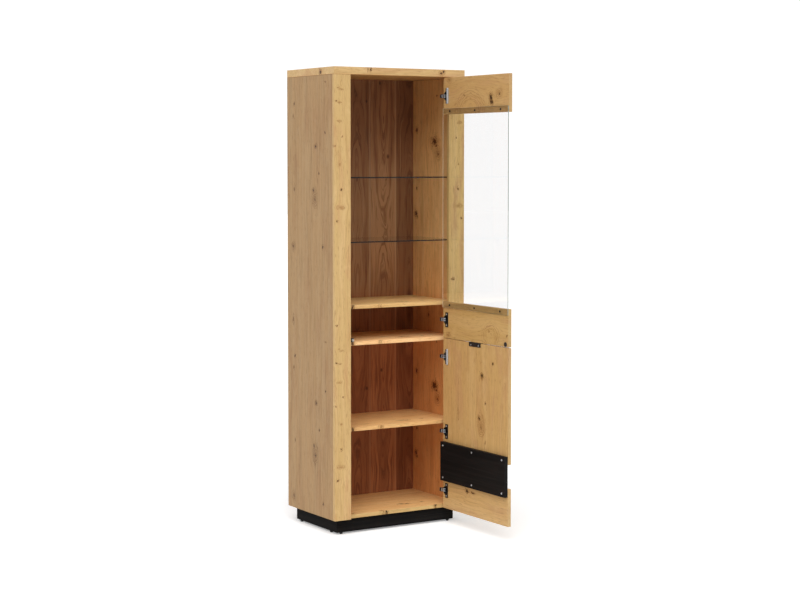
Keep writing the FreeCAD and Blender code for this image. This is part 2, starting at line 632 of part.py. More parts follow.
HINGE_DOORS = {"upper": [height for carrier, height in HINGES if carrier.startswith("upper")],
               "lower": [height for carrier, height in HINGES if carrier.startswith("lower")]}
for step, (carrier, height) in enumerate(HINGES, 1):
    bore(carrier, "left", [("door_inner", "cup_y", height)], "cup + cup_bore_play", "cup_deep + play")
    wing_spots = [("door_inner", "cup_y - wing_screw_line", f"{height} {sign} wing_screw_half")
                  for sign in "+-"]
    bore(carrier, "left", wing_spots, SMALL_HOLE, "small_grip + play")
    mount_spots = [("mount_middle", "0", f"{height} {sign} mount_screw_half") for sign in "+-"]
    bore("stile_right", "back", mount_spots, SMALL_HOLE, "small_grip + play")
    hinge_cup(f"hinge_cup_{step}", height)
    hinge_arm(f"hinge_arm_{step}", height)
    hinge_mount(f"hinge_mount_{step}", height)

centre_points = [("centre_pin_x", "centre_pin_y"),
                 ("door_inner - centre_bend_out", "cup_y + centre_bend_up"),
                 ("door_inner + centre_end_in", "cup_y + centre_end_up")]
side_points = [("side_pin_x", "side_pin_y"),
               ("door_inner - side_bend_out", "cup_y + side_bend_up"),
               ("door_inner + side_end_in", "cup_y + side_end_up")]
centre_link = hinge_link("centre_link_pattern", centre_points, "-centre_link_half", "centre_link_half")
top_link = hinge_link("top_link_pattern", side_points, "side_link_near", "side_link_far")
low_link = hinge_link("low_link_pattern", side_points, "-side_link_far", "-side_link_near")
wing_screw = screw("wing_screw_pattern", "small_shank", "small_head", "small_head_high",
                   "rim_thick + small_grip")
for door, heights in HINGE_DOORS.items():
    middles = [(("0", "0", height), "+z") for height in heights]
    group(f"centre_links_{door}", (centre_link, middles))
    group(f"side_links_{door}", (top_link, middles), (low_link, middles))
    group(f"cup_screws_{door}", (wing_screw, [
        (("door_inner - rim_thick", "cup_y - wing_screw_line", f"{height} {sign} wing_screw_half"), "+x")
        for height in heights for sign in "+-"]))
    board(f"damper_{door}", ("door_inner - rim_thick - damper_thick", "cup_y - wing_free - damper_over",
                             f"{heights[0]} - damper_long / 2"),
          ("damper_thick", "damper_wide", "damper_long"), edge="damper_break")

ALL_HEIGHTS = [height for carrier, height in HINGES]
# The centre link turns on one long pin. The side links turn on short pins, so it passes between them.
long_pin = turned("long_pin_pattern", [
    ("0", "-arm_high / 2"), ("link_pin / 2", "-arm_high / 2"), ("link_pin / 2", "arm_high / 2"),
    ("0", "arm_high / 2")])
short_pin = turned("short_pin_pattern", [
    ("0", "side_link_near"), ("link_pin / 2", "side_link_near"), ("link_pin / 2", "arm_high / 2"),
    ("0", "arm_high / 2")])
group("hinge_pins",
      (long_pin, [(("centre_pin_x", "centre_pin_y", height), "+z") for height in ALL_HEIGHTS]),
      (short_pin, [(("side_pin_x", "side_pin_y", height), turn)
                   for height in ALL_HEIGHTS for turn in ("+z", "-z")]))
mount_screw = screw("mount_screw_pattern", "small_shank", "small_head", "small_head_high",
                    "swing_clear - stile_thick + mount_thick + small_grip")
group("mount_screws", (mount_screw, [
    (("mount_middle", "swing_clear + mount_thick", f"{height} {sign} mount_screw_half"), "-y")
    for height in ALL_HEIGHTS for sign in "+-"]))
clamp_screw = screw("clamp_screw_pattern", "small_shank", "small_head", "small_head_high",
                    "arm_high_side - stile_thick")
group("clamp_screws",
      (clamp_screw, [(("clamp_x", "arm_high_side", height), "-y") for height in ALL_HEIGHTS]))

# ---------------------------------------------------------------- Checks and export
doc.recompute()
for thing in doc.Objects:
    if {"Invalid", "Error"} & set(thing.State):
        raise ValueError(f"{thing.Label} did not build")
for piece in kept:
    if piece.Shape.isNull() or not piece.Shape.isValid():
        raise ValueError(f"{piece.Label} has no sound shape")
os.makedirs("parts", exist_ok=True)
for piece in kept:
    piece.Shape.exportStep(f"parts/{piece.Label}.step")
print(len(kept), "pieces written")
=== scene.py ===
# %% [markdown]
# # A display cabinet, dressed as cells
#
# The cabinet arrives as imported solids: boards, glass, hinges and screws, already in place and on the bodies
# that move them. This lesson gives every surface its finish, puts finer shapes where the solids are plain,
# and sets up the camera and the studio. Lengths are metres, Z is up, and the front looks along -Y.

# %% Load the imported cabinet
import math

import bpy
import numpy as np
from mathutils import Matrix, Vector


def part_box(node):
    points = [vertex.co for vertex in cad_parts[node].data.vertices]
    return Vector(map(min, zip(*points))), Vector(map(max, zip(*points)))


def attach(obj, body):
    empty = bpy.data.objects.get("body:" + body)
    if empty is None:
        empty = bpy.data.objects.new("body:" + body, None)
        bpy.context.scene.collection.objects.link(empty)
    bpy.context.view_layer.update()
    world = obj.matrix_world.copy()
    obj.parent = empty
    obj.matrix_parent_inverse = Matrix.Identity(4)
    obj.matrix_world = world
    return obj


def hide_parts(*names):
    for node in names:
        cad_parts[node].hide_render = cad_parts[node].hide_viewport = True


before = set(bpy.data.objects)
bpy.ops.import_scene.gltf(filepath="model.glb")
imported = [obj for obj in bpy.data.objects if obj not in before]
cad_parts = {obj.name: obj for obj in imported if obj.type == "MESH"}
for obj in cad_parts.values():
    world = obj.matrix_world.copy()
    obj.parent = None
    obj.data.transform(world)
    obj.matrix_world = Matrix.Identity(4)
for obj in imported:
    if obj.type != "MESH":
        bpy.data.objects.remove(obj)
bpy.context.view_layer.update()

# %% [markdown]
# ## Two small helpers
#
# A finish is a tree of nodes, so one helper adds a node with its settings and its links. Colours are picked
# as the hex values that a screen shows, and a shader wants them linear, so the other helper turns them over.

# %% One node, and one colour
MM = 0.001
IN_MM = (1000,) * 3                  # metres times this are millimetres


def add(tree, kind, inputs=(), out=0, **settings):
    """Add a shader node: settings first, then each input's value or link, and return one output."""
    made = tree.nodes.new("ShaderNode" + kind)
    for name, value in settings.items():
        setattr(made, name, value)
    pairs = inputs.items() if isinstance(inputs, dict) else enumerate(inputs)
    for socket, value in pairs:
        if isinstance(value, bpy.types.NodeSocket):
            tree.links.new(value, made.inputs[socket])
        else:
            made.inputs[socket].default_value = value
    return made.outputs[out]


def linear(code):
    """An sRGB hex colour as linear RGBA: each channel c becomes ((c + 0.055) / 1.055) to the power 2.4."""
    channels = np.array([int(code[at:at + 2], 16) for at in (1, 3, 5)]) / 255
    curved = ((channels + 0.055) / 1.055) ** 2.4
    return (*np.where(channels <= 0.04045, channels / 12.92, curved).tolist(), 1.0)


def finish(name, **sockets):
    """A new material and its tree, with plain values set on the shader's own sockets."""
    material = bpy.data.materials.new(name)
    material.use_nodes = True
    shader = material.node_tree.nodes["Principled BSDF"]
    for socket, value in sockets.items():
        shader.inputs[socket.replace("_", " ")].default_value = value
    return material


def wire(material, **links):
    """Link worked-out values to the shader's sockets."""
    tree = material.node_tree
    for socket, value in links.items():
        tree.links.new(value, tree.nodes["Principled BSDF"].inputs[socket.replace("_", " ")])
    return material


def dress(material, *names):
    """Give CAD pieces one finish, in their own material slots."""
    for name in names:
        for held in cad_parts[name].material_slots:
            held.material = material


print("golden oak as light:", [round(part, 3) for part in linear("#DDB882")[:3]])

# %% [markdown]
# ## The camera
#
# A cabinet is drawn as a person standing a few steps away sees it, with its uprights upright. A camera that
# tilts down draws them together at the foot, so this one tilts by only 3 degrees, which is too little to see,
# and slides its picture the rest of the way with the lens shift.

# %% Set the camera
FOCUS = 1768.65                      # focal length in pixels of an 800-pixel-wide picture
WIDTH, HEIGHT = 800, 601
CENTRE = (396.11, 252.99)            # where the line of sight meets the picture
STAND = (-4.0178, -6.4613, 1.6046)   # the eye
TURN = -0.5514                       # radians, to the right of facing the cabinet squarely
TILT_DOWN = math.radians(3)
SENSOR = 36                          # mm

view = bpy.data.cameras.new("standing view")
view.sensor_width = SENSOR
view.lens = FOCUS * SENSOR / WIDTH
view.shift_x = (WIDTH / 2 - CENTRE[0]) / WIDTH
view.shift_y = (CENTRE[1] - HEIGHT / 2) / WIDTH
camera = bpy.data.objects.new("camera", view)
camera.location = STAND
camera.rotation_euler = (math.radians(90) - TILT_DOWN, 0, TURN)
bpy.context.scene.collection.objects.link(camera)
bpy.context.scene.camera = camera
bpy.context.scene.view_settings.view_transform = "Standard"
print("lens:", round(view.lens, 1), "mm")

# %% [markdown]
# ## Oak with knots
#
# The boards are chipboard faced with a printed oak paper under a hard satin resin, and edged to match. The
# print could be a picture, but a pattern worked out from noise has no seams, fits a board of any size and
# stays sharp up close. A printing cylinder repeats: on this paper the same knots come back every 1107 mm
# along the grain, so each board lists its knots once and the recipe wraps them round.
#
# Grain is a family of lines, and lines flow round a knot as water flows round a post. That flow has an old
# formula: beside a post of radius r, a line that was at x runs at x - x r^2 / d^2, where d is the distance to
# the post. The recipe shifts the across-the-grain coordinate so for each knot, and everything that is drawn
# later on the shifted coordinate, from broad bands to fine fibres, bends with it.

# %% The knots of one board
REPEAT = 1107
FAR = 1e5
FLOW = 1.7                           # a living branch pushes the grain further aside than water round a post
CORE = 0.6                           # keeps the push finite in a knot's middle
ARMS = 5                             # drying cracks that run out from a knot's heart
BITE = 0.5                           # how deep they are cut
TEAR = 2.4                           # how far noise bends them, in radians


def knot_flow(tree, flat, ragged, knots):
    """How far knots push the grain aside, how dark each point is with knot, and how far the nearest knot is.

    flat is (across, along, deep) in mm. A knot is (across, along, radius, length / width, darkness), and may
    add (deep, half depth) where it shows on a board's edge. Its distance d is the length of
    ((across - a) / r, (along - b) / (r s)), along being wrapped to half a repeat either side of b. The push
    is the sum of FLOW (across - a) / (d^2 + CORE), and the mark is the highest darkness * exp(-d^2 * ragged *
    (1 + BITE sin(ARMS t + TEAR ragged + b))), where t is the angle round the knot: the sine makes a star of
    cracks and ragged, which is noise, tears and bends it. For hearts, which are dark, and for eyes, which
    are not, the least d and the least d r, which is in mm, are handed on.
    """
    push, mark = (0.0, 0.0, 0.0), 0.0
    nearest = {"heart": [FAR, FAR], "eye": [FAR, FAR]}
    for across, along, radius, stretch, darkness, *depth in knots:
        deep, half = depth or (0.0, FAR)
        scale = np.array([1 / radius, 1 / radius / stretch, 1 / half])
        ends = (FAR, along + REPEAT / 2, FAR), (-FAR, along - REPEAT / 2, -FAR)
        near = add(tree, "VectorMath", (flat, *ends), operation="WRAP")
        apart = add(tree, "VectorMath", (near, scale, -scale * (across, along, deep)),
                    operation="MULTIPLY_ADD")
        square = add(tree, "VectorMath", (apart, apart), 1, operation="DOT_PRODUCT")
        share = add(tree, "Math", (FLOW * radius, add(tree, "Math", (square, CORE), operation="ADD")),
                    operation="DIVIDE")
        push = add(tree, "VectorMath", (apart, share, push), operation="MULTIPLY_ADD")
        distance = add(tree, "VectorMath", (apart,), 1, operation="LENGTH")
        least = nearest["heart" if darkness else "eye"]
        least[0] = add(tree, "Math", (least[0], distance), operation="MINIMUM")
        least[1] = add(tree, "Math", (least[1], add(tree, "Math", (distance, radius), operation="MULTIPLY")),
                       operation="MINIMUM")
        if darkness:
            side, end = add(tree, "SeparateXYZ", (apart,)).node.outputs[:2]
            turn = add(tree, "Math", (side, end), operation="ARCTAN2")
            torn = add(tree, "Math", (ragged, TEAR, along), operation="MULTIPLY_ADD")
            arms = add(tree, "Math", (add(tree, "Math", (turn, ARMS, torn), operation="MULTIPLY_ADD"),),
                       operation="SINE")
            arms = add(tree, "Math", (arms, -BITE, -1.0), operation="MULTIPLY_ADD")
            fade = add(tree, "Math", (add(tree, "Math", (square, ragged), operation="MULTIPLY"), arms),
                       operation="MULTIPLY")
            shade = add(tree, "Math", (math.e, fade), operation="POWER")
            shade = add(tree, "Math", (darkness, shade), operation="MULTIPLY")
            mark = add(tree, "Math", (mark, shade), operation="MAXIMUM")
    return add(tree, "SeparateXYZ", (push,)), mark, nearest


print("knots come back every", REPEAT, "mm")

# %% [markdown]
# The oak is laid on in the order in which the eye finds it: the golden ground, soft bands about 30 mm wide,
# a rosy blush here and there, growth lines a few millimetres apart, short fibres, and the knots last with a
# brown ring round a nearly black heart. The finest pores of real oak are 0.2 mm wide and would vanish in a
# picture of the whole cabinet, so they are drawn about 1 mm wide.

# %% The oak recipe
# Rings: mm from one to the next, and the radii that they start and end at. Real rings are nearer 2 mm apart
# and wouldn't show.
RINGS = {"heart": (7.0, 0.0, 2.2), "eye": (11.0, 0.9, 2.9)}
OAK = dict(ground="#CCAA71", light="#DBBA86", brown="#A97C46", rosy="#C6976A", ring="#8C5B2E", knot="#3B240B")


def knotty_oak(name, across, along, knots, seed=0.0, joint=None, shades=(), **tones):
    """Melamine-faced oak board: satin resin over a print, with the faint dips of pressed pores.

    joint is (axis, place) of a hairline where two boards meet. Each of shades is painted light or shade: a
    colour and then spans of (axis, from, to), and the print is multiplied by the colour as far as every span
    is past.
    """
    tone = {part: linear(code) for part, code in {**OAK, **tones}.items()}
    material = finish(name, IOR=1.5, Specular_IOR_Level=0.3)
    tree = material.node_tree
    place = add(tree, "TexCoord", (), "Object")
    parts = add(tree, "SeparateXYZ", (place,)).node.outputs
    axes = {"x": parts[0], "y": parts[1], "z": parts[2]}
    deep = next(axis for axis in "xyz" if axis not in (across, along))
    metres = add(tree, "CombineXYZ", (axes[across], axes[along], axes[deep]))
    flat = add(tree, "VectorMath", (metres, IN_MM), operation="MULTIPLY")

    def noise(source, wide, long, detail, shift=0.0, twist=0.0):
        """Noise whose blobs are about wide by long, in mm."""
        spread = add(tree, "VectorMath", (source, (1 / wide, 1 / long, 1 / wide), (seed + shift, seed, 0)),
                     operation="MULTIPLY_ADD")
        return add(tree, "TexNoise", {"Vector": spread, "Scale": 1.0, "Detail": detail, "Roughness": 0.55,
                                      "Distortion": twist})

    ragged = add(tree, "MapRange", (noise(flat, 3.0, 4.0, 3), 0.35, 0.65, 0.12, 2.6))
    wander = noise(flat, 16, 22, 2, 37.0).node.outputs["Color"]
    uneven = add(tree, "VectorMath", (wander, (16, 16, 0), (-8, -8, 0)), operation="MULTIPLY_ADD")
    uneven = add(tree, "VectorMath", (flat, uneven), operation="ADD")
    push, mark, nearest = knot_flow(tree, uneven, ragged, knots)
    sway = add(tree, "Math", (noise(flat, 130, 420, 2), 48.0, push), operation="MULTIPLY_ADD")
    sway = add(tree, "Math", (noise(flat, 26, 120, 2), 6.0, sway), operation="MULTIPLY_ADD")
    shifted = add(tree, "VectorMath", (flat, add(tree, "CombineXYZ", (sway,))), operation="SUBTRACT")
    ripples = {}
    for kind, (radii, apart) in nearest.items():
        spacing, inner, reach = RINGS[kind]
        unround = add(tree, "Math", (noise(flat, 1.6 * spacing, 5.0 * spacing, 1, 3.0), 9.0),
                      operation="MULTIPLY")
        turns = add(tree, "Math", (apart, 2 * math.pi / spacing, unround), operation="MULTIPLY_ADD")
        near = add(tree, "Math", (add(tree, "MapRange", (radii, 0.6 * reach, reach, 1.0, 0.0)),
                                  add(tree, "MapRange", (radii, inner, inner + 0.3, 0.0, 1.0))),
                   operation="MULTIPLY")
        ripples[kind] = add(tree, "Math", (add(tree, "Math", (turns,), operation="SINE"), near),
                            operation="MULTIPLY")
    halo = add(tree, "MapRange", (nearest["heart"][0], 2.6, 0.4, 0.0, 1.0))

    # Each layer: its tone, what lays it on, where that starts to cover and covers most, and how much that is.
    layers = (("light", noise(shifted, 20, 900, 2, 0.0, 0.3), 0.44, 0.68, 0.46),
              ("rosy", noise(shifted, 50, 300, 2, 7.0, 0.6), 0.46, 0.70, 0.55),
              ("light", noise(shifted, 40, 75, 3, 41.0, 0.8), 0.50, 0.72, 0.36),
              ("brown", noise(shifted, 13, 500, 3, 13.0, 0.4), 0.52, 0.78, 0.30),
              ("brown", noise(shifted, 3.6, 200, 4, 19.0, 0.4), 0.50, 0.64, 0.36),
              ("ring", noise(shifted, 3.0, 34, 3, 23.0, 0.5), 0.57, 0.68, 0.40),
              ("brown", halo, 0.0, 1.0, 0.30),
              ("ring", ripples["eye"], 0.40, 0.90, 0.42),
              ("ring", ripples["heart"], 0.3, 0.85, 0.54),
              ("ring", mark, 0.16, 0.50, 0.66),
              ("knot", mark, 0.40, 0.54, 0.94))
    colour = tone["ground"]
    for part, amount, start, end, most in layers:
        cover = add(tree, "MapRange", (amount, start, end, 0.0, most), interpolation_type="SMOOTHSTEP")
        colour = add(tree, "Mix", {0: cover, 6: colour, 7: tone[part]}, 2, data_type="RGBA")
    if joint:
        axis, plane = joint
        away = add(tree, "Math", (add(tree, "Math", (axes[axis], plane), operation="SUBTRACT"),),
                   operation="ABSOLUTE")
        cover = add(tree, "MapRange", (away, 0.0008, 0.0022, 0.7, 0.0))
        colour = add(tree, "Mix", {0: cover, 6: colour, 7: tone["ring"]}, 2, data_type="RGBA")
    # Painted light and shade, multiplied over the print.
    for code, *spans in shades:
        cover = 1.0
        for axis, start, end in spans:
            past = add(tree, "MapRange", (axes[axis], start, end, 0.0, 1.0), interpolation_type="SMOOTHSTEP")
            cover = add(tree, "Math", (cover, past), operation="MULTIPLY")
        colour = add(tree, "Mix", {0: cover, 6: colour, 7: linear(code)}, 2, data_type="RGBA",
                     blend_type="MULTIPLY")
    pores = noise(shifted, 1.0, 22, 1, 29.0)
    gloss = add(tree, "MapRange", (pores, 0.3, 0.7, 0.42, 0.56))
    dips = add(tree, "Bump", {"Height": pores, "Strength": 0.10, "Distance": 0.0003})
    return wire(material, Base_Color=colour, Roughness=gloss, Normal=dips)


# %% [markdown]
# Each board then gets its own cut of the recipe. A knot is listed by where it lies across and along the
# grain, in the cabinet's own millimetres; an eye with no darkness bends the lines into the arch that a
# carpenter calls a cathedral.

# %% Dress the oak boards
SIDE_KNOTS = ((385, 743, 5, 1.3, 1.0), (396, 690, 5, 1.6, 0.4), (112, 615, 4, 1.3, 0.9),
              (193, 557, 9, 0.9, 0.66), (168, 442, 4, 1.3, 0.9), (214, 368, 7, 1.3, 0.75),
              (204, 334, 17, 1.7, 0.34), (200, 328, 4, 1.5, 0.8), (386, 371, 4, 2.0, 0.6),
              (134, 126, 5, 1.2, 0.95), (397, 120, 11, 1.3, 0.5), (110, 830, 7, 0.4, 0.5),
              (398, 905, 7, 2.2, 0.45))
WALL_KNOTS = ((401, 635, 7, 1.3, 1.0), (250, 583, 19, 0.8, 1.0), (236, 563, 8, 0.7, 0.9),
              (226, 530, 19, 1.2, 0.36), (222, 524, 5, 1.2, 0.8), (407, 254, 9, 1.2, 0.9),
              (398, 240, 6, 1.2, 0.6), (400, 370, 5, 1.3, 0.8), (300, 905, 6, 1.2, 0.9),
              (232, 788, 4, 1.0, 0.7))
STILE_KNOTS = ((-297, 796, 8, 0.35, 0.36), (-309, 804, 5, 0.5, 0.30), (-321, 746, 4, 0.7, 0.95),
               (-304, 742, 7, 0.35, 0.46), (-306, 663, 9, 0.4, 0.32), (-290, 596, 3, 1.0, 0.7),
               (-297, 374, 4, 1.0, 1.0), (-316, 242, 4, 1.1, 0.8), (-300, 298, 14, 0.45, 0.36),
               (-326, 560, 3, 1.0, 0.5), (-318, 905, 5, 0.8, 0.6), (-300, 480, 4, 1.2, 0.42))
TOP_KNOTS = ((32, -163, 30, 0.1, 0.8, 1990, 8), (32, -149, 30, 0.12, 0.8, 1991, 8),
             (32, 208, 30, 0.3, 0.55, 1983, 9), (32, 218, 30, 0.2, 0.7, 1991, 9),
             (152, -330, 9, 2.0, 0.9, 1979, 10), (250, 60, 10, 1.6, 0.5))
SHELF_KNOTS = ((52, -62, 5, 1.5, 0.8), (53, 192, 4, 1.5, 0.7), (147, 72, 6, 3.0, 0.9),
               (135, 94, 7, 2.0, 0.6), (140, 175, 4, 2.4, 0.7), (62, -80, 8, 1.2, 0.5),
               (300, -150, 8, 1.6, 0.5), (70, -220, 5, 1.6, 0.6))
UPRIGHT = dict(joint=("z", 1.968))   # where the top board lies on them
# Painted light: a lighter print for an open door's board, standing in for light on its inner face.
LIT_BRIGHTER = dict(ground="#D4AB70", light="#E0BC85")
# Painted light: the side boards' print is warmer, for warm light bounced inside the cabinet.
INSIDE_WARM_LIT = dict(ground="#F2BD7C", light="#F8CB90", rosy="#DDA166", knot="#56300E", ring="#9A6028")
LOW_SHADE = ("z", 1.05, 0.93)             # painted shade, down behind the lower door
TOP_SHADOW = ("z", 1.40, 1.95)              # painted shadow, up towards the top board
FRONT = ("y", 0.0530, 0.0521)        # a shelf's front edge, where the shelf's painted light is taken back
UNDERSIDE = ("z", 1.9692, 1.9684)    # the top board's, painted in shade
FREE_EDGE = ("y", -0.4490, -0.4512)  # an open door's, painted cooler
# Painted light: shelves inside the cabinet get warmer, lighter prints for the warm light in the compartments.
NICHE_LIT = dict(ground="#FCCB90", light="#FFDEA8", rosy="#EAB278", shades=(("#BCCABE", FRONT),))
# Painted shade: the top board's underside is made darker and more orange.
UNDER_SHADED = dict(ground="#D2AF78", light="#E0BF8C", shades=(("#F6DDC0", UNDERSIDE),))
# Painted cool light on the doors' free edges.
COOL_LIT_EDGE = dict(shades=(("#F0F6FF", FREE_EDGE),))
# Painted warm light on the lower shelves, as on the niche shelf, taken back on the front edge.
WARM_LIT = dict(ground="#EABA7B", light="#F2CA90", rosy="#D6A066", shades=(("#E2ECE8", FRONT),))


def side_painted_light(*inner):
    """Painted light on a side board: cooler outside, painted shade inside low down and near the top."""
    axis, start, end = inner
    # Painted cool light outside, painted shade low inside, painted shadow of the top board high inside.
    return ("#B8BCC4", (axis, end, start)), ("#EED6C8", inner, LOW_SHADE), ("#E6D9C9", inner, TOP_SHADOW)


BOARDS = {
    "side_left": ("y", "z", SIDE_KNOTS,
                  dict(shades=side_painted_light("x", -0.3155, -0.3145), **INSIDE_WARM_LIT, **UPRIGHT)),
    "side_right": ("y", "z", WALL_KNOTS,
                   dict(shades=side_painted_light("x", 0.3155, 0.3145), **INSIDE_WARM_LIT, **UPRIGHT)),
    "stile_left": ("x", "z", STILE_KNOTS, UPRIGHT),
    # Painted light: the right stile's print is lighter, standing in for light where the open door shades it.
    "stile_right": ("x", "z",
                    (*((-across, *rest) for across, *rest in STILE_KNOTS), (270, 1084, 8, 0.45, 0.8)),
                    dict(ground="#DFBC78", light="#EACC90", **UPRIGHT)),
    "top_board": ("y", "x", TOP_KNOTS, UNDER_SHADED),
    "bottom_panel": ("y", "x", SHELF_KNOTS, WARM_LIT),
    "lower_shelf": ("y", "x", SHELF_KNOTS, WARM_LIT),
    "middle_fixed_shelf": ("y", "x", SHELF_KNOTS, NICHE_LIT),
    # Painted light: a warmer, lighter print for the upper fixed shelf.
    "upper_fixed_shelf": ("y", "x", SHELF_KNOTS, dict(ground="#DFB476", light="#E8C68C", rosy="#CE9D64")),
    "upper_door_top_board": ("z", "y", ((1868, -318, 17, 0.6, 1.0), (1850, -326, 11, 0.9, 1.0),
                                        (1884, -378, 15, 1.2, 0.36), (1881, -384, 4, 1.1, 0.9),
                                        (1806, -165, 52, 1.15, 0.0), (1882, -116, 3, 1.1, 0.9),
                                        (1955, 0, 11, 1.4, 0.42)),
                             dict(ground="#C99F65", light="#D4AF79", **COOL_LIT_EDGE)),
    "upper_door_bottom_board": ("z", "y", ((840, 4, 9, 1.6, 0.45), (871, -439, 4, 1.2, 0.7),
                                           (856, -322, 30, 1.1, 0.0), (881, -309, 4, 1.3, 0.5)),
                                dict(ground="#C9A264", light="#D6B178", **COOL_LIT_EDGE)),
    "lower_door_upper_board": ("y", "z", ((-257, 685, 9, 1.1, 0.85), (-339, 745, 4, 1.2, 0.9),
                                          (-284, 572, 4, 1.2, 0.8), (-237, 502, 8, 1.2, 0.75),
                                          (-253, 468, 18, 1.7, 0.36), (-250, 462, 4, 1.5, 0.7),
                                          (-75, 504, 4, 7.0, 0.3), (-284, 403, 4, 1.6, 0.5)),
                               dict(ground="#CDA468", light="#D9B57D", **COOL_LIT_EDGE)),
    "lower_door_lower_board": ("z", "y", ((172, -146, 9, 1.1, 1.0), (170, -190, 5, 3.0, 0.7)),
                               dict(**LIT_BRIGHTER, **COOL_LIT_EDGE)),
}
for number, (name, (across, along, knots, more)) in enumerate(BOARDS.items()):
    title = "melamine oak, " + name.replace("_", " ")
    dress(knotty_oak(title, across, along, knots, seed=3.7 * number, **more), name)
print("oak boards:", len(BOARDS))

# %% [markdown]
# ## The brown back
#
# The back is a thin fibreboard printed as walnut-brown planks about 137 mm wide. A plank's number is its
# place divided by the width and rounded down, and a sine of that number sets each plank's tone apart. The
# pointed arches of a plank come from a saw that runs slightly askew through round growth rings: the distance
# to the pith is sqrt(aside^2 + depth^2), with depth growing slowly along the plank, and the noise is laid on
# that distance. A pale line of sapwood runs beside each seam. Shade is painted on as well: the front face is
# made redder low down, a painted shade in the lower compartments, and the sheet darker towards the top, a
# painted shadow of the top board, as on the side walls.

# %% The back panel
PLANK = 137                          # mm wide
FIRST_SEAM = 86
LOG = 700                            # mm of trunk before the figure turns back on itself
SKEW = 0.08                          # how fast the cut drifts away from the pith
PITH = 12                            # mm that the cut starts on the other side of the pith
SPECKS = ((67, 1874, 4), (138, 1959, 5), (182, 1627, 6), (-120, 1480, 5), (68, 574, 5), (146, 652, 5))


def planked_back():
    """Printed fibreboard: matt, with upright grain in planks."""
    material = finish("printed fibreboard, brown planks", Roughness=0.62, IOR=1.5, Specular_IOR_Level=0.25)
    tree = material.node_tree
    place = add(tree, "VectorMath", (add(tree, "TexCoord", (), "Object"), IN_MM), operation="MULTIPLY")
    across, inward, height = add(tree, "SeparateXYZ", (place,)).node.outputs
    steps = add(tree, "Math", (add(tree, "Math", (across, FIRST_SEAM), operation="SUBTRACT"), PLANK),
                operation="DIVIDE")
    plank = add(tree, "Math", (steps,), operation="FLOOR")
    within = add(tree, "Math", (steps,), operation="FRACT")
    tone = add(tree, "Math", (add(tree, "Math", (plank, 2.5, -0.93), operation="MULTIPLY_ADD"),),
               operation="SINE")
    jump = add(tree, "Math", (add(tree, "TexWhiteNoise", {"W": plank}, noise_dimensions="1D"), 2 * LOG),
               operation="MULTIPLY")
    level = add(tree, "Math", (height, jump), operation="ADD")
    aside = add(tree, "Math", (within, PLANK, -PLANK / 2), operation="MULTIPLY_ADD")
    depth = add(tree, "Math", (add(tree, "Math", (level, LOG), operation="PINGPONG"), SKEW, -PITH),
                operation="MULTIPLY_ADD")
    radius = add(tree, "VectorMath", (add(tree, "CombineXYZ", (aside, depth)),), 1, operation="LENGTH")
    slow = add(tree, "VectorMath", (place, (1 / 45, 1, 1 / 160)), operation="MULTIPLY")
    bend = add(tree, "TexNoise", {"Vector": slow, "Scale": 1.0, "Detail": 2.0})
    radius = add(tree, "Math", (bend, 30.0, radius), operation="MULTIPLY_ADD")
    trunk = add(tree, "CombineXYZ", (radius, plank, level))

    def noise(wide, long, detail, shift, twist):
        """Noise whose blobs are about wide by long, in mm, wrapped round the trunk."""
        spread = add(tree, "VectorMath", (trunk, (1 / wide, 7.0, 1 / long), (shift, 0.0, 0.0)),
                     operation="MULTIPLY_ADD")
        return add(tree, "TexNoise", {"Vector": spread, "Scale": 1.0, "Detail": detail, "Distortion": twist})

    colour = linear("#B7865C")
    layers = (("#7A4E31", tone, -0.6, 1.0, 0.62), ("#74492D", noise(24, 500, 3, 3, 0.5), 0.45, 0.68, 0.55),
              ("#C09268", noise(15, 600, 3, 9, 0.4), 0.50, 0.72, 0.5),
              ("#5F3822", noise(4.5, 260, 4, 17, 0.6), 0.50, 0.63, 0.56),
              ("#C89E77", within, 0.90, 0.985, 0.6), ("#432617", within, 0.988, 0.995, 0.6))
    for code, amount, start, end, most in layers:
        cover = add(tree, "MapRange", (amount, start, end, 0.0, most), interpolation_type="SMOOTHSTEP")
        colour = add(tree, "Mix", {0: cover, 6: colour, 7: linear(code)}, 2, data_type="RGBA")
    uneven = add(tree, "VectorMath", (bend.node.outputs["Color"], (1.2,) * 3), operation="MULTIPLY")
    for x, z, radius in SPECKS:
        scale = np.array([1, 0, 0.7]) / radius
        apart = add(tree, "VectorMath", (place, scale, -scale * (x, 0, z)), operation="MULTIPLY_ADD")
        apart = add(tree, "VectorMath", (apart, uneven), operation="ADD")
        far = add(tree, "VectorMath", (apart,), 1, operation="LENGTH")
        cover = add(tree, "MapRange", (far, 1.9, 0.5, 0.0, 0.75), interpolation_type="SMOOTHSTEP")
        colour = add(tree, "Mix", {0: cover, 6: colour, 7: linear("#3A2012")}, 2, data_type="RGBA")
    # Painted shade: the sheet's front face is made redder below about 1 m, in the lower compartments.
    low = add(tree, "MapRange", (height, 1050, 930, 0.0, 1.0), interpolation_type="SMOOTHSTEP")
    face = add(tree, "MapRange", (inward, 433.5, 432.5, 0.0, 1.0))
    low = add(tree, "Math", (low, face), operation="MULTIPLY")
    colour = add(tree, "Mix", {0: low, 6: colour, 7: linear("#EED0C2")}, 2, data_type="RGBA",
                 blend_type="MULTIPLY")
    # Painted shadow of the top board: the sheet darker towards the top.
    high = add(tree, "MapRange", (height, 1350, 1900, 0.0, 1.0), interpolation_type="SMOOTHSTEP")
    colour = add(tree, "Mix", {0: high, 6: colour, 7: linear("#D8C9BE")}, 2, data_type="RGBA",
                 blend_type="MULTIPLY")
    dips = add(tree, "Bump", {"Height": noise(2.5, 90, 2, 31, 0.5), "Strength": 0.1, "Distance": 0.0003})
    return wire(material, Base_Color=colour, Normal=dips)


dress(planked_back(), "back_panel")
print("planks", PLANK, "mm wide")

# %% [markdown]
# ## Black wood
#
# The plinth and the board that joins the lower door's halves are the same oak paper printed black. Black
# still shows its grain, because the pores are pressed into the resin and catch the light along the board.

